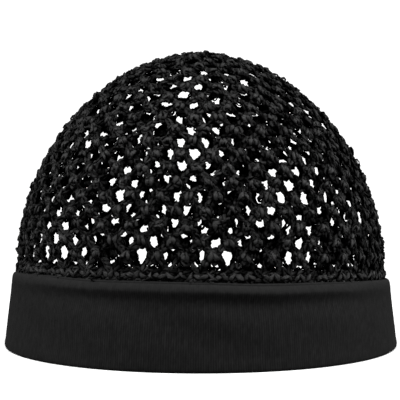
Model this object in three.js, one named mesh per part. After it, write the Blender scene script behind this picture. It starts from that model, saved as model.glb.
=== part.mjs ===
// A black open-work hair cap: a dome of coarse crocheted net on a plain band of jersey folded double.
// The cap stands on the band's fold. Millimetres, +Z up, the brow towards -Y, origin in the middle of
// the fold's oval on the surface that it rests on.
import * as THREE from 'three';

// Band: its widest oval is the fold at the bottom, and its face leans in as it rises
const bandHalfX = 100;
const bandHalfY = 85;
const faceLean = 0.11;
const foldOuter = 1.0;
const foldInner = 2.6;
const foldRise = 1.8;
const clothWall = 1.5;
const seamDrop = 5.5;
const seamDepth = 0.6;
const seamSpread = 2.6;
const seamBulge = 0.2;
const lipRound = 0.6;

// Top edge of the band: higher over the brow than at the nape, and a little uneven from side to side
const edgeHeight = 34.6;
const browRise = 5.4;
const endDip = 2;
const leftRise = 1.8;

// Pocket between the band's two layers, which holds the rim of the net
const pocketOuter = 5.3;
const pocketInner = 7.5;
const pocketDepth = 6.6;
const slitBottom = 3;
const slitWidth = 0.5;
const pocketClearance = 0.3;

// Crown: a dome of net over the band, with its wall inside the band's face
const crownTop = 150;
const netInset = 5.2;
const netWall = 3;
const domeRoundness = 1.85;
const rimDepth = 6;
const netLift = 1.2;
const edgingAngle = 2.6;
const startAngle = 85.5;
const cordRound = 0.8;
const gapSize = 0.68;
const gapSides = 6;

// Gaps in each row of the net, from the band up to the start of the crown
const gapRows = [
  { gaps: 24 },
  { gaps: 24 },
  { gaps: 24 },
  { gaps: 18 },
  { gaps: 12 },
  { gaps: 8 },
  { gaps: 4 },
];

// Every corner round the cap lies on a tick, so that neighbouring rows share their corners
const ticksRound = 144;
const stepsRound = 72;
const fullTurn = 2 * Math.PI;

function bandTop(turn) {
  const forward = -Math.sin(turn);
  const left = -Math.cos(turn);
  return edgeHeight + browRise * forward - endDip * forward ** 2 + leftRise * left;
}

function ovalPoint(turn, inset, height) {
  return new THREE.Vector3(
    (bandHalfX - inset) * Math.cos(turn),
    (bandHalfY - inset) * Math.sin(turn),
    height,
  );
}

// Point on the dome: rise is an angle, 0 at the band and a quarter turn at the pole, and inset is
// how far inside the net's outer surface the point lies
function domePoint(turn, rise, inset) {
  const width = Math.cos(rise) ** (2 / domeRoundness);
  const height = Math.sin(rise);
  const base = bandTop(turn) + netLift;
  return new THREE.Vector3(
    (bandHalfX - netInset - inset) * width * Math.cos(turn),
    (bandHalfY - netInset - inset) * width * Math.sin(turn),
    base + (crownTop - inset - base) * height,
  );
}

function makeMesh(name, points, faces, material) {
  const geometry = new THREE.BufferGeometry();
  geometry.setAttribute('position', new THREE.Float32BufferAttribute(points.flatMap((p) => p.toArray()), 3));
  geometry.setIndex(faces.flat());
  geometry.computeVertexNormals();
  const mesh = new THREE.Mesh(geometry, material);
  mesh.name = name;
  return mesh;
}

// Band: one folded piece of cloth. The section runs up the outer face over the seam's groove, round
// the lip, down into the pocket and up again, and over the inner lip back down to the fold.
function bandSection(top) {
  const face = (height) => faceLean * height;
  const grooveBelow = top - seamDrop - seamSpread;
  const groove = top - seamDrop;
  const grooveAbove = top - seamDrop + seamSpread;
  const innerTop = top - lipRound;
  const innerFace = foldInner + clothWall / 2;
  return [
    { inset: foldOuter, height: 0 },
    { inset: foldOuter / 4, height: foldRise / 3 },
    { inset: 0, height: foldRise },
    { inset: face(top / 3), height: top / 3 },
    { inset: face(grooveBelow), height: grooveBelow },
    { inset: face(groove) + seamDepth, height: groove },
    { inset: face(grooveAbove) - seamBulge, height: grooveAbove },
    { inset: face(top) - seamBulge, height: top - 2 * lipRound },
    { inset: face(top) + lipRound, height: top },
    { inset: pocketOuter, height: top - lipRound },
    { inset: pocketOuter, height: top - pocketDepth },
    { inset: foldOuter + slitWidth, height: slitBottom },
    { inset: foldOuter + 2 * slitWidth, height: slitBottom },
    { inset: pocketInner, height: top - pocketDepth },
    { inset: pocketInner, height: innerTop - lipRound },
    { inset: pocketInner + clothWall / 2, height: innerTop },
    { inset: pocketInner + clothWall, height: innerTop - lipRound },
    { inset: pocketInner + clothWall, height: top - pocketDepth },
    { inset: innerFace, height: foldRise },
    { inset: innerFace - foldOuter / 4, height: foldRise / 3 },
    { inset: foldInner, height: 0 },
  ];
}

function makeBand() {
  const points = [];
  const faces = [];
  const corners = bandSection(edgeHeight).length;
  for (let step = 0; step < stepsRound; step += 1) {
    const turn = (step / stepsRound) * fullTurn;
    const nextStep = (step + 1) % stepsRound;
    const section = bandSection(bandTop(turn));
    section.forEach(({ inset, height }, corner) => {
      const nextCorner = (corner + 1) % corners;
      const here = step * corners;
      const there = nextStep * corners;
      points.push(ovalPoint(turn, inset, height));
      faces.push([here + corner, there + corner, there + nextCorner]);
      faces.push([here + corner, there + nextCorner, here + nextCorner]);
    });
  }
  const jersey = new THREE.MeshStandardMaterial({ color: 0x1d1d1d, roughness: 0.9, metalness: 0 });
  return makeMesh('band', points, faces, jersey);
}

// Net: each corner is a pair of points, the outer one and the inner one just after it in the list,
// so a face on the outside always has its fellow on the inside
function makeNet() {
  const points = [];
  const faces = [];

  function addPair(outer, inner) {
    points.push(outer, inner);
    return points.length - 2;
  }

  function addDomePair(turn, rise, cut) {
    return addPair(domePoint(turn, rise, cut), domePoint(turn, rise, netWall - cut));
  }

  function addFace(a, b, c) {
    faces.push([a, b, c], [a + 1, c + 1, b + 1]);
  }

  // Wall through the net along a loop, with the open side to the left of the way that it runs
  function addWall(loop) {
    loop.forEach((corner, index) => {
      const next = loop[(index + 1) % loop.length];
      faces.push([corner.at, next.at, next.at + 1], [corner.at, next.at + 1, corner.at + 1]);
    });
  }

  // Faces between two closed loops, the second one above or inside the first. Each corner has a key
  // from 0 to 1 that says how far round it lies.
  function zip(first, second) {
    let i = 0;
    let j = 0;
    const corner = (loop, index) => loop[index % loop.length];
    const keyAfter = (loop, index) => {
      if (index >= loop.length) return Infinity;
      return corner(loop, index + 1).key + (index + 1 === loop.length ? 1 : 0);
    };
    while (i < first.length || j < second.length) {
      if (keyAfter(first, i) <= keyAfter(second, j)) {
        addFace(corner(first, i).at, corner(first, i + 1).at, corner(second, j).at);
        i += 1;
      } else {
        addFace(corner(first, i).at, corner(second, j + 1).at, corner(second, j).at);
        j += 1;
      }
    }
  }

  function addRing(ticks, makePair) {
    return ticks.map((tick) => ({ tick, key: tick / ticksRound, at: makePair((tick / ticksRound) * fullTurn) }));
  }

  const evenTicks = Array.from({ length: stepsRound }, (_, step) => (step * ticksRound) / stepsRound);
  const rowAngle = (startAngle - edgingAngle) / gapRows.length;
  const riseOf = (row) => THREE.MathUtils.degToRad(edgingAngle + rowAngle * row);
  const cellTicks = (row) => ticksRound / gapRows[row].gaps;
  const firstTick = (row) => (row % 2) * cellTicks(row) / 2;

  function rowCorners(row) {
    return Array.from({ length: gapRows[row].gaps }, (_, cell) => firstTick(row) + cell * cellTicks(row));
  }

  // Line between two rows: the corners of both, each one once and in order
  function lineTicks(row) {
    const below = row > 0 ? rowCorners(row - 1) : evenTicks;
    const above = row < gapRows.length ? rowCorners(row) : [];
    return [...new Set([...below, ...above])].sort((a, b) => a - b);
  }

  const lines = Array.from({ length: gapRows.length + 1 }, (_, row) => (
    addRing(lineTicks(row), (turn) => addDomePair(turn, riseOf(row), 0))
  ));

  // Corners of a line from one tick to another, which may run on past the start of the line
  function stretch(line, from, to) {
    return [0, ticksRound].flatMap((lap) => (
      line.map(({ tick, at }) => ({ tick: tick + lap, at })).filter(({ tick }) => tick >= from && tick <= to)
    ));
  }

  // One cell of the net: a gap with the cord round it, between its row's two lines
  function addCell(row, cell) {
    const from = firstTick(row) + cell * cellTicks(row);
    const to = from + cellTicks(row);
    const middle = (from + to) / 2;
    const keyOf = (across, up) => (Math.atan2(up, across) / fullTurn + 1) % 1;
    const across = (tick) => (tick - middle) / (cellTicks(row) / 2);
    const byKey = (a, b) => a.key - b.key;
    const frame = [
      ...stretch(lines[row], from, to).map(({ tick, at }) => ({ at, key: keyOf(across(tick), -1) })),
      ...stretch(lines[row + 1], from, to).map(({ tick, at }) => ({ at, key: keyOf(across(tick), 1) })),
    ].sort(byKey);
    const gap = Array.from({ length: gapSides }, (_, side) => {
      const angle = ((side + 0.5) / gapSides) * fullTurn;
      const tick = middle + (gapSize * Math.cos(angle) * cellTicks(row)) / 2;
      const rise = riseOf(row + 0.5 + (gapSize * Math.sin(angle)) / 2);
      return { key: angle / fullTurn, at: addDomePair((tick / ticksRound) * fullTurn, rise, cordRound) };
    });
    zip(frame, gap);
    addWall(gap);
  }

  gapRows.forEach(({ gaps }, row) => {
    for (let cell = 0; cell < gaps; cell += 1) addCell(row, cell);
  });

  // Rim: a thinner edge that goes down between the band's layers, under the close edging round
  const rimOuter = pocketOuter + pocketClearance;
  const rimInner = pocketInner - pocketClearance;
  const rimPair = (lift) => (turn) => addPair(
    ovalPoint(turn, rimOuter, bandTop(turn) + lift),
    ovalPoint(turn, rimInner, bandTop(turn) + lift),
  );
  const rimBottom = addRing(evenTicks, rimPair(-rimDepth));
  const rimTop = addRing(evenTicks, rimPair(pocketClearance));
  const domeFoot = addRing(evenTicks, (turn) => addDomePair(turn, 0, 0));
  zip(rimBottom, rimTop);
  zip(rimTop, domeFoot);
  zip(domeFoot, lines[0]);
  addWall([...rimBottom].reverse());

  // Start of the crown: the close ring that the rounds are worked out from
  const pole = addDomePair(0, Math.PI / 2, 0);
  const lastLine = lines[gapRows.length];
  lastLine.forEach(({ at }, index) => addFace(at, lastLine[(index + 1) % lastLine.length].at, pole));

  const yarn = new THREE.MeshStandardMaterial({ color: 0x171717, roughness: 0.6, metalness: 0 });
  return makeMesh('crown_net', points, faces, yarn);
}

const hairCap = new THREE.Group();
hairCap.add(makeBand(), makeNet());
export default hairCap;
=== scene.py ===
"""Looks of a black mesh hair cap: a net crocheted from crumpled tape yarn on a band of ribbed jersey."""
import math

import bpy
import numpy as np
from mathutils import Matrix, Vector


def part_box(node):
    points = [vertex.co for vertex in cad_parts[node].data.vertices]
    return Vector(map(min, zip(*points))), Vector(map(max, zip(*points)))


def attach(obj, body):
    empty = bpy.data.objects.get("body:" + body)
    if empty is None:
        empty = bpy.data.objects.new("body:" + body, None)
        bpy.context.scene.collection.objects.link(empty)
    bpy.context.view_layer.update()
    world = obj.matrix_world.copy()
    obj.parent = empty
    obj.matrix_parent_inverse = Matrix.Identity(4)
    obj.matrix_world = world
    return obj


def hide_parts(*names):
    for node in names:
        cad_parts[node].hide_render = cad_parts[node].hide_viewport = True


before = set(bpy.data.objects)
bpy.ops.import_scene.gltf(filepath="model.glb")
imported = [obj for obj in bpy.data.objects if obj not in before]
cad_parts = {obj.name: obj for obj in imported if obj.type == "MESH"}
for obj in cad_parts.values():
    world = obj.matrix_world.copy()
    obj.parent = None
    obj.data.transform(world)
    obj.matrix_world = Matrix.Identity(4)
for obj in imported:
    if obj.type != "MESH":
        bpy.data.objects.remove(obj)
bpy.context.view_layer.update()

# Sizes are in millimetres until a mesh is made, and angles in radians
MM = 0.001
TURN = 2 * math.pi

# Cap: the sizes that the frame gives
band_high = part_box("band")[1]
net_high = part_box("crown_net")[1]
HALF_X = band_high.x / MM
HALF_Y = band_high.y / MM
CROWN_TOP = net_high.z / MM

# Top edge of the band: higher over the brow than at the nape, and a little uneven from side to side
EDGE_HEIGHT = 34.6
BROW_RISE = 5.4
END_DIP = 2.0
LEFT_RISE = 1.8

# Section of the band. Insets are measured inwards from its widest oval, and its face leans in as it
# rises. A slit between the two layers opens at the top into the pocket for the net's rim.
FACE_LEAN = 0.11
FOLD_THICK = 3.4
FOLD_RISE = 1.8
POCKET_OUTER = 5.3
POCKET_INNER = 7.5
POCKET_DEPTH = 6.6
SLIT_BOTTOM = 3.2
SLIT_INSET = 1.9
SLIT_WIDTH = 0.3
WALL = 1.5

# Rows of the band's fold: height, how far in from the widest oval, and how strongly the ribs show
FOLD_ROWS = [(0.0, 1.0, 0.4), (0.25, 0.45, 0.8), (0.8, 0.12, 1.0), (FOLD_RISE, 0.0, 1.0)]
FACE_ROWS = 7

# Rows of the band's lip: how far below the edge, how far in from the face all round, and how much
# farther in where the hollow under the lip is deep
LIP_ROWS = [
    (17.0, 0.0, 0.0), (14.0, 0.0, 0.3), (11.5, 0.0, 0.75), (9.6, 0.0, 1.0), (8.2, 0.0, 0.95),
    (7.0, 0.0, 0.6), (5.8, 0.0, 0.05), (4.7, 0.0, -0.5), (3.8, 0.0, -0.6), (2.9, 0.0, -0.2),
    (2.0, 0.0, 0.35), (1.3, 0.1, 0.8), (0.8, 0.3, 1.1), (0.35, 0.7, 1.3), (0.0, 1.4, 1.4),
]

# Rows of the pocket's two sides: how far below the edge, how far in from that side, and the ribs
OUTER_ROWS = [(0.25, -0.25, 0.4), (1.2, 0.0, 0.0), (POCKET_DEPTH, 0.0, 0.0)]
INNER_ROWS = [
    (POCKET_DEPTH, 0.0, 0.0), (1.6, 0.0, 0.0), (0.8, 0.35, 0.4), (0.7, 0.85, 0.8),
    (1.2, 1.4, 1.0), (2.4, WALL, 1.0), (POCKET_DEPTH, WALL, 1.0),
]

# Rows of the inner face, as shares of its height, and the share of all the section's rows after
# which the ribs stand out into the cap
INNER_FACE_ROWS = (0.75, 0.5, 0.25)
INNER_LAYER_START = 0.6

# Ribs of the jersey, and the least and most that each rib and each stretch of one stands out
RIB_PITCH = 1.07
RIB_DEPTH = 0.32
RIB_HEIGHTS = (0.7, 1.0)
RIB_STRETCHES = (0.5, 1.0)
RIB_SEED = 7

# Slow waves round the band: millimetres in its edge and its face, and a share of the hollow's depth.
# The face's soft folds slant, by a share of the girth for each millimetre of height. The hollow
# fades towards the sides, with a power of the cosine.
SLOW_WAVES = (3, 5, 8, 13)
EDGE_WAVES = 0.12
EDGE_SEED = 5
FACE_WAVES = 0.34
FACE_SLANT = 0.004
FACE_SEED = 9
HOLLOW_WAVES = 0.16
HOLLOW_FADE = 6
HOLLOW_SEED = 5009

# Painted highlight on the lip: the shade painted between the ribs fades near the edge. How far down from
# the edge that reaches, and how much of that shade is left at the edge, as a share of the face's
LIP_REACH = 4.5
LIP_SHADE = 0.1

# Dome of the net, which starts this far in from the band's oval and above its edge
NET_INSET = 5.2
NET_LIFT = 1.2
DOME_ROUNDNESS = 1.85
LOWEST_RISE = -0.12
OVAL_POINTS = 2881
MERIDIAN_POINTS = 1500

# Plan of the net: rounds of chain loops, each loop caught down by a knot of the next round. Knots
# are pulled towards the middle of their loop, and two knots in one loop are spread.
FIRST_KNOTS = 7
START_ARC = 9.0
ROUND_PITCH = 6.8
LOOP_WIDTH = 12.9
LOOP_PULL = 0.7
TWIN_SPREAD = 0.6
SETTLE_TRIALS = 16
KNOT_JITTER = 0.3
ROUND_JITTER = 0.25
NET_SEED = 11

# Loops: stitches to each half, how the half bends, and how far it ends above the knot that catches
# it, or below the top of the edging
HALF_LOOP_STITCHES = 3
LOOP_SAG = 0.25
LOOP_BEND = 0.4
CATCH_RISE = 1.0
EDGING_CATCH = 0.4

# Start of the crown: stitches in the round, how far from the pole, and their size
START_RING = (7, 2.4, 0.7)
START_POSTS = (12, 4.8, 1.0)
START_RIM = (14, 7.0, 0.8)

# Knots: two posts that lean together, a third one across them, and chain stitches crowded round.
# The leans are a mean and a spread.
KNOT_SPREAD = 1.1
KNOT_SIDE = 2.2
KNOT_FOOT = 1.6
KNOT_HEAD = 1.8
KNOT_HEAD_SIZE = 0.8
POST_LEAN = (0.28, 0.12)
POST_SIZES = 0.12
CROSS_DROP = 0.5
CROSS_TURN = 1.0
CROSS_SIZE = 0.85
CROWD_LEAN = (0.55, 0.25)

# Chain stitches beside a knot: how far down, 1 where they close in towards the foot and -1 where
# they open, and their size
KNOT_SIDES = [(0.6, -1, 0.85), (-0.7, 1, 0.75)]

# Chain stitches under a knot: how far down, how much their headings vary, and their size
KNOT_FEET = [(KNOT_FOOT, 0.3, 0.8), (1.5 * KNOT_FOOT, 0.5, 0.7)]

# Edging: pairs of posts under a line of chain, and two more lines that are tucked into the pocket
EDGING_WIDTH = 3.0
EDGING_PITCH = 6.0
EDGING_SPREAD = 1.5
EDGING_LEAN = (0.8, 0.2)
EDGING_DROP = 0.6
EDGING_SIZE = 1.05
LINE_LINK = 3.4
LINE_DROP = 0.6
RIM_TURN = 0.4
RIM_DROPS = (0.8, 1.5)
RIM_INSET = 1.5

# Chain stitches and posts, and the least and most that each one's sizes are multiplied by
STITCH_DEPTH = 1.8
CHAIN_LENGTH = 4.3
CHAIN_LENGTHS = (0.9, 1.12)
CHAIN_WIDTH = 2.3
CHAIN_WIDTHS = (0.85, 1.15)
CHAIN_TAPER = (0.72, 0.28)
CHAIN_FULLNESS = 0.55
CHAIN_TUCK = 0.55
POST_HEIGHT = 4.0
POST_HEIGHTS = (0.9, 1.12)
POST_DEPTH = 2.6
POST_DEPTHS = (0.88, 1.12)
POST_BEND = 0.25
POST_ROUNDING = 0.6
POST_TAPE = 1.2

# How far a stitch is off its spot: its heading, its depth and its place
STITCH_TURN = 0.2
STITCH_LIFT = 0.35
STITCH_SHIFT = 0.24

# Tape: its width and thickness change from the tips of a loop to its two leaves. Its UV is shifted
# by up to UV_SHIFT, so that no two loops look alike.
TAPE_STEPS = 8
TAPE_HALF_WIDTH = 0.94
TAPE_HALF_THICK = 0.42
TIP_WIDTH = 0.5
LEAF_WIDENING = 0.55
TIP_THICKNESS = 1.15
LEAF_THINNING = 0.15
SIZE_WOBBLE = 0.16
WOBBLE_WAVES = (1, 2, 3)
TAPE_TILT = 0.85
CRUMPLE = 0.11
UV_SHIFT = 50

# Section of the tape, in half widths and half thicknesses, and the shade painted at each point: deep at its
# two edges and its back, where it meets its neighbours
TAPE_SECTION = [(1.0, 0.0), (0.4, 1.0), (-0.4, 1.0), (-1.0, 0.0), (0.0, -0.9)]
TAPE_SHADE = [1.4, 0.05, 0.05, 1.4, 0.9]

# Painted shade on the net: its colour is dark near the middle of its wall, where shade falls, and pale
# where it stands proud of it. A loop's painted shade is a little deeper or lighter than its neighbours' at
# random, and its tips, where loops meet, get painted shade too.
SHADE_START = 1.15
SHADE_REACH = 1.0
SHADE_LEAST = -0.1
DEPTH_SHADE = 0.85
LOOP_SHADE = 0.45
TIP_SHADE = 0.7

MAX_TRIANGLES = 150000

# Studio, in metres
FLOOR_RADIUS = 0.24
FLOOR_CORNERS = 96
LAMP_SIZE = 0.6
LAMP_TARGET = (0.0, 0.0, 0.06)
SUN_HEIGHT = 2
CAMERA_PLACE = (-0.0004, -0.447, 0.0733)

# Lens and sensor of the camera, in millimetres
CAMERA_LENS = 77.3
SENSOR_WIDTH = 36.0

rng = np.random.default_rng(NET_SEED)


def normalised(vectors):
    return vectors / np.maximum(np.linalg.norm(vectors, axis=-1, keepdims=True), 1e-9)


# Shape of the cap

def band_top(turn):
    forward = -np.sin(turn)
    left = -np.cos(turn)
    return EDGE_HEIGHT + BROW_RISE * forward - END_DIP * forward ** 2 + LEFT_RISE * left


def oval_table():
    """Share of the oval's girth against turn, from the nape round to the nape again."""
    turns = np.linspace(TURN / 4, TURN * 5 / 4, OVAL_POINTS)
    speed = np.hypot(HALF_X * np.sin(turns), HALF_Y * np.cos(turns))
    length = np.concatenate([[0], np.cumsum((speed[1:] + speed[:-1]) / 2)])
    girth = length[-1] * (turns[1] - turns[0])
    return length / length[-1], turns, girth


def meridian_table():
    """Length along the mean meridian from the pole against the angle of rise."""
    rises = np.linspace(TURN / 4, LOWEST_RISE, MERIDIAN_POINTS)
    half = (HALF_X + HALF_Y) / 2 - NET_INSET
    tall = CROWN_TOP - EDGE_HEIGHT - NET_LIFT
    width = half * np.cos(rises) ** (2 / DOME_ROUNDNESS)
    height = tall * np.sin(rises)
    steps = np.hypot(np.diff(width), np.diff(height))
    return np.concatenate([[0], np.cumsum(steps)]), rises


OVAL_SHARES, OVAL_TURNS, OVAL_GIRTH = oval_table()
ARCS, RISES = meridian_table()
BASE_ARC = float(np.interp(0, -RISES, ARCS))


def turn_at(share):
    return np.interp(share % 1.0, OVAL_SHARES, OVAL_TURNS)


def rise_at(arc):
    return np.interp(arc, ARCS, RISES)


def girth_at(arc):
    """Girth of the net at a distance from the pole."""
    scale = 1 - 2 * NET_INSET / (HALF_X + HALF_Y)
    return OVAL_GIRTH * scale * np.cos(rise_at(arc)) ** (2 / DOME_ROUNDNESS)


def dome_point(share, arc, inset):
    """Point of the net: share of the way round, distance from the pole, and depth in its wall."""
    turn = turn_at(share)
    rise = rise_at(arc)
    width = np.cos(rise) ** (2 / DOME_ROUNDNESS)
    base = band_top(turn) + NET_LIFT
    return np.stack([
        (HALF_X - NET_INSET - inset) * width * np.cos(turn),
        (HALF_Y - NET_INSET - inset) * width * np.sin(turn),
        base + (CROWN_TOP - inset - base) * np.sin(rise),
    ], -1)


def place(share, arc, inset, heading):
    """Places on the dome with their axes: along the heading, across it, and out of the cap.

    A heading of 0 runs along the round, and a quarter turn runs down towards the band.
    """
    step = 0.002
    reach = 0.5
    side = normalised(dome_point(share + step, arc, inset) - dome_point(share - step, arc, inset))
    down = normalised(dome_point(share, arc + reach, inset) - dome_point(share, arc - reach, inset))
    out = normalised(np.cross(down, side))
    along = normalised(np.cos(heading)[:, None] * side + np.sin(heading)[:, None] * down)
    across = np.cross(out, along)
    return dome_point(share, arc, inset), along, across, out


# Meshes

def add_object(name, points, faces, uvs, material, painted_shade):
    """Mesh object from points in millimetres and quads, with a UV for each corner of each quad.

    The last argument is the shade painted into each point's colour, from 0 to 1, deepest in crevices.
    """
    mesh = bpy.data.meshes.new(name)
    mesh.vertices.add(len(points))
    mesh.vertices.foreach_set("co", (points * MM).astype(np.float32).ravel())
    mesh.loops.add(faces.size)
    mesh.loops.foreach_set("vertex_index", faces.astype(np.int32).ravel())
    mesh.polygons.add(len(faces))
    mesh.polygons.foreach_set("loop_start", np.arange(0, faces.size, 4, dtype=np.int32))
    mesh.polygons.foreach_set("use_smooth", np.ones(len(faces), dtype=bool))
    mesh.uv_layers.new(name="cloth").data.foreach_set("uv", uvs.astype(np.float32).ravel())
    mesh.materials.append(material)
    mesh.update(calc_edges=True)
    mesh.attributes.new("painted_shade", "FLOAT", "POINT").data.foreach_set("value", painted_shade.astype(np.float32))
    piece = bpy.data.objects.new(name, mesh)
    bpy.context.scene.collection.objects.link(piece)
    return piece


def quad_uvs(u, u_next, v, v_next):
    """A UV for each corner of each quad, in the order of the quad's corners."""
    corners = [(u, v), (u, v_next), (u_next, v_next), (u_next, v)]
    return np.stack([np.stack(np.broadcast_arrays(*corner), -1) for corner in corners], -2)


def crease_tapes(mesh):
    """Keeps the edges along a mesh of tapes sharp, so that each tape has a flat and two bevels."""
    ends = np.empty(2 * len(mesh.edges), dtype=np.int32)
    mesh.edges.foreach_get("vertices", ends)
    side = ends.reshape(-1, 2) % len(TAPE_SECTION)
    sharp = mesh.attributes.new("sharp_edge", "BOOLEAN", "EDGE")
    sharp.data.foreach_set("value", side[:, 0] == side[:, 1])


def sweep_loops(centre, facing, half_width, half_thick):
    """Closed tapes of flat section along closed centre lines, all at once.

    centre and facing are arrays of loops, steps and coordinates. The tape's flat side looks along
    facing. Returns points, quads and a UV for each corner: millimetres along the tape, share round it.
    """
    loops, steps = centre.shape[:2]
    sides = len(TAPE_SECTION)
    tangent = normalised(np.roll(centre, -1, axis=1) - np.roll(centre, 1, axis=1))
    width_axis = normalised(np.cross(tangent, facing))
    thick_axis = np.cross(width_axis, tangent)
    wide, thick = np.array(TAPE_SECTION).T
    points = (
        centre[:, :, None, :]
        + (half_width[:, :, None] * wide)[..., None] * width_axis[:, :, None, :]
        + (half_thick[:, :, None] * thick)[..., None] * thick_axis[:, :, None, :]
    )
    here = np.arange(steps)[:, None] * sides
    there = ((np.arange(steps) + 1) % steps)[:, None] * sides
    side = np.arange(sides)[None, :]
    next_side = (side + 1) % sides
    quads = np.stack([here + side, here + next_side, there + next_side, there + side], -1).reshape(-1, 4)
    faces = quads[None] + (np.arange(loops) * steps * sides)[:, None, None]
    length = np.linalg.norm(np.roll(centre, -1, axis=1) - centre, axis=-1)
    travelled = np.concatenate([np.zeros((loops, 1)), np.cumsum(length, axis=1)], axis=1)
    uvs = quad_uvs(travelled[:, :-1, None], travelled[:, 1:, None], side / sides, (side + 1) / sides)
    uvs = uvs + rng.uniform(0, UV_SHIFT, (loops, 1, 1, 1, 2))
    return points, faces.reshape(-1, 4), uvs.reshape(-1, 2)


def wobble(loops, steps, size):
    """Smooth random values round each loop."""
    angle = TURN * np.arange(steps) / steps
    total = np.zeros((loops, steps))
    for wave in WOBBLE_WAVES:
        phase = rng.uniform(0, TURN, (loops, 1))
        total += rng.normal(0, size, (loops, 1)) * np.sin(wave * angle[None] + phase)
    return total


def tape(local, facing, axes, width, thick):
    """Loops of crumpled tape from local centre lines, set on their places on the dome."""
    point, along, across, out = axes
    loops, steps = local.shape[:2]
    basis = np.stack([along, across, out], 1)
    local = local + np.stack([wobble(loops, steps, CRUMPLE) for _ in range(3)], -1)
    centre = point[:, None, :] + np.einsum("nsk,nkc->nsc", local, basis)
    tilt = wobble(loops, steps, TAPE_TILT)
    facing = facing + tilt[..., None] * np.roll(facing, 1, axis=-1)
    facing = normalised(np.einsum("nsk,nkc->nsc", facing, basis))
    leaf = np.sin(TURN * np.arange(steps) / steps)[None] ** 2
    half_width = width * (TIP_WIDTH + LEAF_WIDENING * leaf) * (1 + wobble(loops, steps, SIZE_WOBBLE))
    half_thick = thick * (TIP_THICKNESS - LEAF_THINNING * leaf) * (1 + wobble(loops, steps, SIZE_WOBBLE))
    points, faces, uvs = sweep_loops(centre, facing, half_width, half_thick)
    points = points + rng.normal(0, CRUMPLE, points.shape)
    # Painted shade: darker deep in the net's wall, at the tape's edges and back, and at each loop's tips
    lift = np.abs(np.einsum("nspc,nc->nsp", points - point[:, None, None, :], out))
    loop_shade = rng.uniform(-LOOP_SHADE, LOOP_SHADE, (loops, 1, 1))
    depth_shade = np.clip((SHADE_START - lift) / SHADE_REACH + loop_shade, SHADE_LEAST, 1)
    painted_shade = DEPTH_SHADE * depth_shade + np.array(TAPE_SHADE) + TIP_SHADE * (1 - leaf[..., None])
    return points.reshape(-1, 3), faces, uvs, np.clip(painted_shade, 0, 1).ravel()


# Stitches. Each table holds arrays with one value a stitch: share, arc, heading, size and depth

def loose_places(table):
    """Places of the stitches, each a little off its spot as in handwork."""
    count = len(table["share"])
    share = table["share"] + rng.normal(0, STITCH_SHIFT, count) / girth_at(table["arc"])
    arc = table["arc"] + rng.normal(0, STITCH_SHIFT, count)
    inset = table["depth"] + rng.normal(0, STITCH_LIFT, count)
    return place(share, arc, inset, table["heading"] + rng.normal(0, STITCH_TURN, count))


def chain_stitches(table):
    """Chain stitches: long narrow loops, each with its head tucked under the next one's tail."""
    loops = len(table["share"])
    angle = (TURN * np.arange(TAPE_STEPS) / TAPE_STEPS)[None]
    length = CHAIN_LENGTH * table["size"] * rng.uniform(*CHAIN_LENGTHS, loops)
    width = CHAIN_WIDTH * rng.uniform(*CHAIN_WIDTHS, loops)
    taper = CHAIN_TAPER[0] - CHAIN_TAPER[1] * np.cos(angle)
    local = np.stack([
        -0.5 * length[:, None] * np.cos(angle),
        CHAIN_FULLNESS * width[:, None] * np.sin(angle) * taper,
        CHAIN_TUCK * np.cos(angle) + np.zeros((loops, 1)),
    ], -1)
    facing = np.broadcast_to(np.array([0.0, 0.0, 1.0]), local.shape)
    return tape(local, facing, loose_places(table), TAPE_HALF_WIDTH, TAPE_HALF_THICK)


def post_stitches(table):
    """Posts of the knots: loops of tape that clasp a chain from the outside round to the inside."""
    loops = len(table["share"])
    angle = (TURN * np.arange(TAPE_STEPS) / TAPE_STEPS)[None]
    height = POST_HEIGHT * table["size"] * rng.uniform(*POST_HEIGHTS, loops)
    depth = POST_DEPTH * rng.uniform(*POST_DEPTHS, loops)
    local = np.stack([
        0.5 * height[:, None] * np.cos(angle),
        rng.normal(0, POST_BEND, (loops, 1)) * np.cos(angle),
        0.5 * depth[:, None] * np.sin(angle),
    ], -1)
    facing = np.stack([np.cos(angle) * POST_ROUNDING, np.zeros((1, TAPE_STEPS)), np.sin(angle)], -1)
    facing = np.broadcast_to(facing, local.shape)
    return tape(local, facing, loose_places(table), TAPE_HALF_WIDTH * POST_TAPE, TAPE_HALF_THICK)


def table_of(share, arc, heading, size=1.0, depth=STITCH_DEPTH):
    names = ("share", "arc", "heading", "size", "depth")
    values = (np.asarray(value, float) for value in (share, arc, heading, size, depth))
    return dict(zip(names, np.broadcast_arrays(*values)))


def join_tables(tables):
    return {key: np.concatenate([table[key] for table in tables]) for key in tables[0]}


# Plan of the net, worked from the crown down

def plan_rounds():
    """Rounds of knots: how far down each lies, where its knots are, and which loop each one catches."""
    span = BASE_ARC - EDGING_WIDTH - START_ARC
    steps = round(span / ROUND_PITCH)
    share = np.arange(FIRST_KNOTS) / FIRST_KNOTS
    caught = np.zeros(FIRST_KNOTS, int)
    rounds = []
    for index in range(steps):
        arc = START_ARC + index * span / steps
        if index:
            above = len(share)
            count = min(max(above, round(girth_at(arc) / LOOP_WIDTH)), 2 * above)
            share, caught = settle(count, share)
        share = share + rng.normal(0, KNOT_JITTER, len(share)) / girth_at(arc)
        down = arc + rng.normal(0, ROUND_JITTER, len(share))
        rounds.append({"arc": down, "share": share, "caught": caught})
    return rounds


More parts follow.
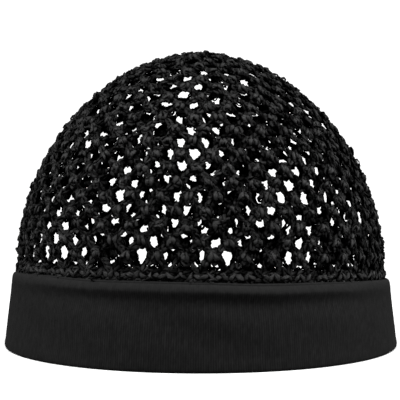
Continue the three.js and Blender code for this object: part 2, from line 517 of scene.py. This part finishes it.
def settle(count, above):
    """Places of a round's knots under the loops above, and the loop that each one catches.

    The even round is turned to where its knots lie closest to the middles of their loops. Then a
    knot is drawn from its even place towards the middle of its loop. Two knots in one loop, where
    the round grows, draw apart.
    """
    loops = len(above)
    ends = np.append(above, above[0] + 1)
    middles = (ends[1:] + ends[:-1]) / 2
    least = math.inf
    for trial in range(SETTLE_TRIALS):
        trial_even = ends[0] + (np.arange(count) + trial / SETTLE_TRIALS) / count
        trial_loop = np.clip(np.searchsorted(ends, trial_even, side="right") - 1, 0, loops - 1)
        cost = np.mean((trial_even - middles[trial_loop]) ** 2)
        if cost < least:
            least = cost
            even = trial_even
            loop = trial_loop
    held = np.bincount(loop, minlength=loops)[loop]
    order = np.arange(count) - np.searchsorted(loop, loop)
    spread = (order - (held - 1) / 2) * TWIN_SPREAD / loops
    return (1 - LOOP_PULL) * even + LOOP_PULL * (middles[loop] + spread), loop


def loop_stitches(stops, girth):
    """Chain stitches along a loop that leaves its first stop steeply, lies flat at the middle ones
    where knots catch it, and climbs steeply to the last."""
    pieces = len(stops) - 1
    tables = []
    for piece in range(pieces):
        (x0, y0), (x1, y1) = stops[piece], stops[piece + 1]
        dx = (x1 - x0) * girth
        dy = y1 - y0
        sag = LOOP_SAG * math.hypot(dx, dy)
        start = (dx, dy + sag) if piece == 0 else (dx, LOOP_BEND * dy)
        end = (dx, dy - sag) if piece == pieces - 1 else (dx, LOOP_BEND * dy)
        t = (np.arange(HALF_LOOP_STITCHES) + 0.5) / HALF_LOOP_STITCHES

        # A cubic curve: the weight of its far end and of its slopes at the start and the end
        far = -2 * t ** 3 + 3 * t ** 2
        leaving = t ** 3 - 2 * t ** 2 + t
        arriving = t ** 3 - t ** 2
        x = far * dx + leaving * start[0] + arriving * end[0]
        y = far * dy + leaving * start[1] + arriving * end[1]

        # How fast the three weights change, which gives the curve's direction
        far = -6 * t ** 2 + 6 * t
        leaving = 3 * t ** 2 - 4 * t + 1
        arriving = 3 * t ** 2 - 2 * t
        slope_x = far * dx + leaving * start[0] + arriving * end[0]
        slope_y = far * dy + leaving * start[1] + arriving * end[1]
        tables.append(table_of(x0 + x / girth, y0 + y, np.arctan2(slope_y, slope_x)))
    return join_tables(tables)


def knot_tables(here):
    """Posts of a round's knots, and the chain stitches that crowd in beside and over them."""
    share = here["share"]
    arc = here["arc"]
    count = len(share)
    girth = girth_at(arc)
    lean = rng.normal(*POST_LEAN, count)
    bigger = rng.uniform(-POST_SIZES, POST_SIZES, count)
    posts = [
        table_of(share + side * KNOT_SPREAD / girth, arc, TURN / 4 - side * lean, 1 - side * bigger)
        for side in (-1, 1)
    ]
    cross_arc = arc + rng.normal(0, CROSS_DROP, count)
    posts.append(table_of(share, cross_arc, rng.normal(0, CROSS_TURN, count), CROSS_SIZE))
    crowd = rng.normal(*CROWD_LEAN, count)
    sides = [
        table_of(share + side * KNOT_SIDE / girth, arc + drop, TURN / 4 + side * closing * crowd, size)
        for drop, closing, size in KNOT_SIDES
        for side in (-1, 1)
    ]
    sides += [
        table_of(share, arc + drop, rng.normal(0, turned, count), size)
        for drop, turned, size in KNOT_FEET
    ]
    sides += [
        table_of(share + side * KNOT_SPREAD / girth, arc - KNOT_HEAD, side * crowd, KNOT_HEAD_SIZE)
        for side in (-1, 1)
    ]
    return posts, sides


def round_tables(rounds, index):
    """Chain stitches and posts of one round: its knots, and its loops down to the next round."""
    here = rounds[index]
    count = len(here["share"])
    girth = girth_at(float(np.mean(here["arc"])) + ROUND_PITCH / 2)
    last = index == len(rounds) - 1
    chains = []
    for loop in range(count):
        after = (loop + 1) % count
        x0 = here["share"][loop]
        x1 = here["share"][after] + (1.0 if after == 0 else 0.0)
        if last:
            catches = [((x0 + x1) / 2, BASE_ARC - EDGING_WIDTH + EDGING_CATCH)]
        else:
            below = rounds[index + 1]
            catches = []
            for knot in np.flatnonzero(below["caught"] == loop):
                spot = below["share"][knot]
                spot += round((x0 + x1) / 2 - spot)
                catches.append((spot, below["arc"][knot] - CATCH_RISE))
        start = (x0 + KNOT_SIDE / girth, here["arc"][loop] + KNOT_FOOT)
        end = (x1 - KNOT_SIDE / girth, here["arc"][after] + KNOT_FOOT)
        chains.append(loop_stitches([start, *sorted(catches), end], girth))
    posts, sides = knot_tables(here)
    return join_tables(chains + sides), join_tables(posts)


def even_round(stitches, arc, size, heading):
    return table_of(np.arange(stitches) / stitches, arc, heading, size)


def crown_start_tables():
    """Close start of the crown: a small ring with posts round it."""
    chains = join_tables([even_round(*START_RING, 0.0), even_round(*START_RIM, 0.0)])
    return chains, even_round(*START_POSTS, TURN / 4)


def edging_tables():
    """Close edging over the band: pairs of posts that stand apart at the foot, and lines of chain."""
    girth = girth_at(BASE_ARC)
    pairs = round(girth / EDGING_PITCH)
    share = (np.arange(pairs) + 0.5) / pairs
    offset = EDGING_SPREAD / girth
    lean = rng.normal(*EDGING_LEAN, (2, pairs))
    top = BASE_ARC - EDGING_WIDTH
    middle = top + EDGING_DROP * EDGING_WIDTH
    posts = join_tables([
        table_of(share - offset, middle, TURN / 4 + lean[0], EDGING_SIZE),
        table_of(share + offset, middle, TURN / 4 - lean[1], EDGING_SIZE),
    ])
    links = round(girth / LINE_LINK)
    line = (np.arange(links) + 0.5) / links
    turned = rng.normal(0, RIM_TURN, links)
    chains = join_tables([
        table_of(line, top + LINE_DROP, 0.0),
        table_of(line, BASE_ARC + RIM_DROPS[0], turned, depth=RIM_INSET),
        table_of(line + 0.5 / links, BASE_ARC + RIM_DROPS[1], 0.0, depth=RIM_INSET),
    ])
    return chains, posts


def join_meshes(parts):
    points, faces, uvs, painted_shade = zip(*parts)
    starts = np.cumsum([0] + [len(part) for part in points[:-1]])
    faces = [part + start for part, start in zip(faces, starts)]
    return [np.concatenate(values) for values in (points, faces, uvs, painted_shade)]


def add_net_piece(number, parts, material):
    points, faces, uvs, painted_shade = join_meshes(parts)
    piece = add_object(f"net_rounds_{number}", points, faces, uvs, material, painted_shade)
    crease_tapes(piece.data)
    return piece


def make_net(material):
    """The net as several joined meshes, from the crown's start down to the edging."""
    rounds = plan_rounds()
    groups = [crown_start_tables()]
    groups += [round_tables(rounds, index) for index in range(len(rounds))]
    groups.append(edging_tables())
    pieces = []
    waiting = []
    triangles = 0
    for chains, posts in groups:
        meshes = [chain_stitches(chains), post_stitches(posts)]
        added = sum(2 * len(faces) for _, faces, _, _ in meshes)
        if waiting and triangles + added > MAX_TRIANGLES:
            pieces.append(add_net_piece(len(pieces) + 1, waiting, material))
            waiting = []
            triangles = 0
        waiting += meshes
        triangles += added
    pieces.append(add_net_piece(len(pieces) + 1, waiting, material))
    return pieces


# Band

def band_rows(top, hollow):
    """Section of the folded band, one column of insets and heights for each place round the cap.

    Each row also says how strongly the cloth's ribs show on it. hollow says how deep the hollow
    under the lip is round the cap.
    """
    rows = [(inset, height, ribbing) for height, inset, ribbing in FOLD_ROWS]
    face_top = top - LIP_ROWS[0][0]
    for row in range(1, FACE_ROWS):
        height = FOLD_RISE + (face_top - FOLD_RISE) * row / FACE_ROWS
        rows.append((FACE_LEAN * height, height, 1.0))
    for drop, inset, deeper in LIP_ROWS:
        rows.append((FACE_LEAN * (top - drop) + inset + deeper * hollow, top - drop, 1.0))
    rows += [(POCKET_OUTER + inset, top - drop, ribbing) for drop, inset, ribbing in OUTER_ROWS]
    rows += [(SLIT_INSET, SLIT_BOTTOM, 0.0), (SLIT_INSET + SLIT_WIDTH, SLIT_BOTTOM, 0.0)]
    rows += [(POCKET_INNER + inset, top - drop, ribbing) for drop, inset, ribbing in INNER_ROWS]
    inner_top = top - POCKET_DEPTH
    for share in INNER_FACE_ROWS:
        inset = FOLD_THICK + (POCKET_INNER + WALL - FOLD_THICK) * share
        rows.append((inset, FOLD_RISE + (inner_top - FOLD_RISE) * share, 1.0))
    rows += [(FOLD_THICK - inset, height, ribbing) for height, inset, ribbing in reversed(FOLD_ROWS)]
    return rows


def slow_waves(share, size, seed):
    """Gentle unevenness round the cap, in waves of a few centimetres."""
    draw = np.random.default_rng(seed)
    total = np.zeros_like(share)
    for wave in SLOW_WAVES:
        total += draw.normal(0, size) * np.sin(TURN * (wave * share + draw.uniform()))
    return total


def make_band(material):
    """The band, with two columns of points to each rib of the jersey."""
    ribs = 2 * round(OVAL_GIRTH / RIB_PITCH / 2)
    columns = 2 * ribs
    share = np.arange(columns) / columns
    turn = turn_at(share)
    top = band_top(turn) + slow_waves(share, EDGE_WAVES, EDGE_SEED)
    fading = 1 - np.abs(np.cos(turn)) ** HOLLOW_FADE
    rows = band_rows(top, fading * (1 + slow_waves(share, HOLLOW_WAVES, HOLLOW_SEED)))
    draw = np.random.default_rng(RIB_SEED)
    crest = np.arange(columns) % 2 == 1
    rib_height = draw.uniform(*RIB_HEIGHTS, ribs) * draw.uniform(*RIB_STRETCHES, (len(rows), ribs))
    rib_height = np.repeat(rib_height, 2, axis=1)
    points = []
    lengths = [0.0]
    painted_shade = []
    for number, (inset, height, ribbing) in enumerate(rows):
        height = np.broadcast_to(height, share.shape)
        facing_in = number > len(rows) * INNER_LAYER_START
        rib = ribbing * crest * rib_height[number]

        # Soft folds, strongest half-way up the front and the back
        level = np.clip(height / top, 0, 1)
        strength = 4 * level * (1 - level) * np.sin(turn) ** 2
        soft_folds = strength * slow_waves(share + FACE_SLANT * height, FACE_WAVES, FACE_SEED)
        inset = inset + RIB_DEPTH * rib * (1 if facing_in else -1) + soft_folds
        points.append(np.stack([
            (HALF_X - inset) * np.cos(turn),
            (HALF_Y - inset) * np.sin(turn),
            height,
        ], -1))
        # Shade painted between the ribs, fading near the edge into a painted highlight on the lip
        painted_shade.append((1 - rib) * np.clip((top - height) / LIP_REACH, LIP_SHADE, 1))
        if number:
            lengths.append(lengths[-1] + float(np.mean(np.linalg.norm(points[-1] - points[-2], axis=-1))))
    grid = np.arange(len(rows) * columns).reshape(len(rows), columns)
    above = np.roll(grid, -1, axis=0)
    faces = np.stack([grid, np.roll(grid, -1, axis=1), np.roll(above, -1, axis=1), above], -1)
    step = OVAL_GIRTH / columns
    u = np.arange(columns) * step
    v = np.array(lengths)[:, None]
    v_next = np.array(lengths[1:] + [lengths[-1] + WALL])[:, None]

    # The quads run along the round first, so the rows are the second direction of their UVs
    uvs = quad_uvs(v, v_next, u, u + step)[..., ::-1]
    return add_object(
        "band_jersey", np.concatenate(points), faces.reshape(-1, 4), uvs.reshape(-1, 2), material,
        np.concatenate(painted_shade),
    )


# Materials

def new_material(name):
    material = bpy.data.materials.new(name)
    material.use_nodes = True
    nodes = material.node_tree.nodes
    return material, nodes, material.node_tree.links, nodes["Principled BSDF"]


def add_node(nodes, kind, **values):
    """Node with values for its sockets by their names, or else for its own settings."""
    node = nodes.new(kind)
    for key, value in values.items():
        if key in node.inputs:
            node.inputs[key].default_value = value
        else:
            setattr(node, key, value)
    return node


def grey_ramp(nodes, start, end, first, last):
    """Colour ramp between two greys."""
    node = nodes.new("ShaderNodeValToRGB")
    for element, position, grey in zip(node.color_ramp.elements, (start, end), (first, last)):
        element.position = position
        element.color = (grey, grey, grey, 1)
    return node


def map_range(nodes, first, last):
    node = nodes.new("ShaderNodeMapRange")
    node.inputs["To Min"].default_value = first
    node.inputs["To Max"].default_value = last
    return node


def scaled_uv(nodes, links, scale):
    """The cloth's own UV, stretched for a texture."""
    uv = add_node(nodes, "ShaderNodeUVMap", uv_map="cloth")
    scaled = add_node(nodes, "ShaderNodeMapping", Scale=scale)
    links.new(uv.outputs["UV"], scaled.inputs["Vector"])
    return scaled.outputs["Vector"]


# Shade painted into each point's colour, read from the mesh
def painted_shade_value(nodes):
    return add_node(nodes, "ShaderNodeAttribute", attribute_name="painted_shade").outputs["Fac"]


def join_bumps(nodes, links, shader, bumps):
    """Bumps on top of each other: the texture, strength and distance in metres of each."""
    normal = None
    for texture, strength, distance in bumps:
        bump = add_node(nodes, "ShaderNodeBump", Strength=strength, Distance=distance)
        links.new(texture.outputs["Fac"], bump.inputs["Height"])
        if normal:
            links.new(normal, bump.inputs["Normal"])
        normal = bump.outputs["Normal"]
    links.new(normal, shader.inputs["Normal"])


def yarn_material():
    """Black crumpled tape: satin flats, fine lengthwise fibres and creases, with shade painted into its
    crevices, edges and tips as darker colour and less shine.
    """
    material, nodes, links, shader = new_material("net_yarn")
    fibres = add_node(nodes, "ShaderNodeTexNoise", Scale=1.0, Detail=3.0, Roughness=0.6)
    links.new(scaled_uv(nodes, links, (0.6, 16.0, 1.0)), fibres.inputs["Vector"])
    place_in_cap = nodes.new("ShaderNodeTexCoord")
    creases = add_node(nodes, "ShaderNodeTexNoise", Scale=1100.0, Detail=3.0, Roughness=0.6, Distortion=0.8)
    links.new(place_in_cap.outputs["Object"], creases.inputs["Vector"])
    # Painted shade darkens the colour and takes away the shine in crevices, at the tapes' edges and at loop
    # tips
    painted_shade = painted_shade_value(nodes)
    colour = grey_ramp(nodes, 0.0, 1.0, 0.038, 0.0005)
    links.new(painted_shade, colour.inputs["Fac"])
    links.new(colour.outputs["Color"], shader.inputs["Base Color"])
    rough = map_range(nodes, 0.34, 0.5)
    links.new(fibres.outputs["Fac"], rough.inputs["Value"])
    links.new(rough.outputs["Result"], shader.inputs["Roughness"])
    shine = map_range(nodes, 0.12, 0.0)
    links.new(painted_shade, shine.inputs["Value"])
    links.new(shine.outputs["Result"], shader.inputs["Specular IOR Level"])
    join_bumps(nodes, links, shader, [(fibres, 0.3, 0.0001), (creases, 0.8, 0.0004)])
    return material


def jersey_material():
    """Matt black jersey: fine vertical ribs with shade painted between them, small stitches and fuzz."""
    material, nodes, links, shader = new_material("band_jersey")
    shader.inputs["Specular IOR Level"].default_value = 0.18
    shader.inputs["Roughness"].default_value = 0.85
    stitches = nodes.new("ShaderNodeTexWave")
    stitches.bands_direction = "Y"
    stitches.inputs["Scale"].default_value = 0.9
    stitches.inputs["Distortion"].default_value = 1.4
    stitches.inputs["Detail Scale"].default_value = 1.2
    links.new(scaled_uv(nodes, links, (1.0 / RIB_PITCH, 1.5, 1.0)), stitches.inputs["Vector"])
    fuzz = add_node(nodes, "ShaderNodeTexNoise", Scale=0.5, Detail=6.0, Roughness=0.75)
    links.new(scaled_uv(nodes, links, (1.0, 0.5, 1.0)), fuzz.inputs["Vector"])

    # Half of the shade painted between the ribs, which fades over the lip for a painted highlight, is added
    # to the fuzz, and both darken the cloth
    darker = add_node(nodes, "ShaderNodeMath", operation="MULTIPLY_ADD")
    darker.inputs[1].default_value = 0.5
    links.new(painted_shade_value(nodes), darker.inputs[0])
    links.new(fuzz.outputs["Fac"], darker.inputs[2])
    colour = grey_ramp(nodes, 0.35, 1.0, 0.014, 0.0005)
    links.new(darker.outputs["Value"], colour.inputs["Fac"])
    links.new(colour.outputs["Color"], shader.inputs["Base Color"])
    join_bumps(nodes, links, shader, [(stitches, 0.25, 0.0001), (fuzz, 0.3, 0.00015)])
    return material


# Studio

def make_floor():
    """Round pale floor, which gives the cap less light than the camera sees on it."""
    mesh = bpy.data.meshes.new("floor")
    turns = [TURN * corner / FLOOR_CORNERS for corner in range(FLOOR_CORNERS)]
    rim = [(FLOOR_RADIUS * math.cos(turn), FLOOR_RADIUS * math.sin(turn), 0) for turn in turns]
    mesh.from_pydata(rim, [], [tuple(range(FLOOR_CORNERS))])
    material, nodes, links, shader = new_material("floor")
    paths = nodes.new("ShaderNodeLightPath")
    pale = grey_ramp(nodes, 0.0, 1.0, 0.3, 0.95)
    links.new(paths.outputs["Is Camera Ray"], pale.inputs["Fac"])
    links.new(pale.outputs["Color"], shader.inputs["Base Color"])
    shader.inputs["Roughness"].default_value = 0.9
    shader.inputs["Specular IOR Level"].default_value = 0.0
    mesh.materials.append(material)
    floor = bpy.data.objects.new("floor", mesh)
    bpy.context.scene.collection.objects.link(floor)


def add_lamp(name, location, power):
    """Soft square lamp that looks at the cap."""
    light = bpy.data.lights.new(name, "AREA")
    light.shape = "SQUARE"
    light.size = LAMP_SIZE
    light.energy = power
    lamp = bpy.data.objects.new(name, light)
    lamp.location = location
    away = np.array(location) - np.array(LAMP_TARGET)
    lamp.rotation_euler = (
        math.atan2(math.hypot(away[0], away[1]), away[2]),
        0.0,
        math.atan2(away[0], -away[1]),
    )
    bpy.context.scene.collection.objects.link(lamp)


def add_sun(name, strength, spread, tilt):
    """Wide soft light from above, tilted towards the camera's side."""
    light = bpy.data.lights.new(name, "SUN")
    light.energy = strength
    light.angle = spread
    lamp = bpy.data.objects.new(name, light)
    lamp.location = (0, 0, SUN_HEIGHT)
    lamp.rotation_euler = (tilt, 0, 0)
    bpy.context.scene.collection.objects.link(lamp)


def make_world(seen, given):
    """White where the camera looks past the cap, and a dimmer even light on the cap."""
    world = bpy.data.worlds.new("studio")
    world.use_nodes = True
    bpy.context.scene.world = world
    nodes = world.node_tree.nodes
    links = world.node_tree.links
    background = nodes["Background"]
    background.inputs["Color"].default_value = (1, 1, 1, 1)
    paths = nodes.new("ShaderNodeLightPath")
    strength = map_range(nodes, given, seen)
    links.new(paths.outputs["Is Camera Ray"], strength.inputs["Value"])
    links.new(strength.outputs["Result"], background.inputs["Strength"])


def make_camera():
    """Level camera at the height of the crown's middle, straight at the brow."""
    data = bpy.data.cameras.new("camera")
    data.sensor_width = SENSOR_WIDTH
    data.lens = CAMERA_LENS
    camera = bpy.data.objects.new("camera", data)
    camera.location = CAMERA_PLACE
    camera.rotation_euler = (TURN / 4, 0, 0)
    bpy.context.scene.collection.objects.link(camera)
    bpy.context.scene.camera = camera


def make_studio():
    make_camera()
    make_floor()
    make_world(seen=1.2, given=0.03)
    add_sun("overhead", 3.2, math.radians(40), math.radians(22))
    add_lamp("front_left", (-1.5, -0.35, 0.9), 21.0)
    add_lamp("front_right", (1.5, -0.3, 0.9), 24.0)
    bpy.context.scene.view_settings.view_transform = "Standard"


make_studio()
net = make_net(yarn_material())
band = make_band(jersey_material())
for piece in net:
    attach(piece, "root")
    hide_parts("crown_net")
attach(band, "root")
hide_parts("band")
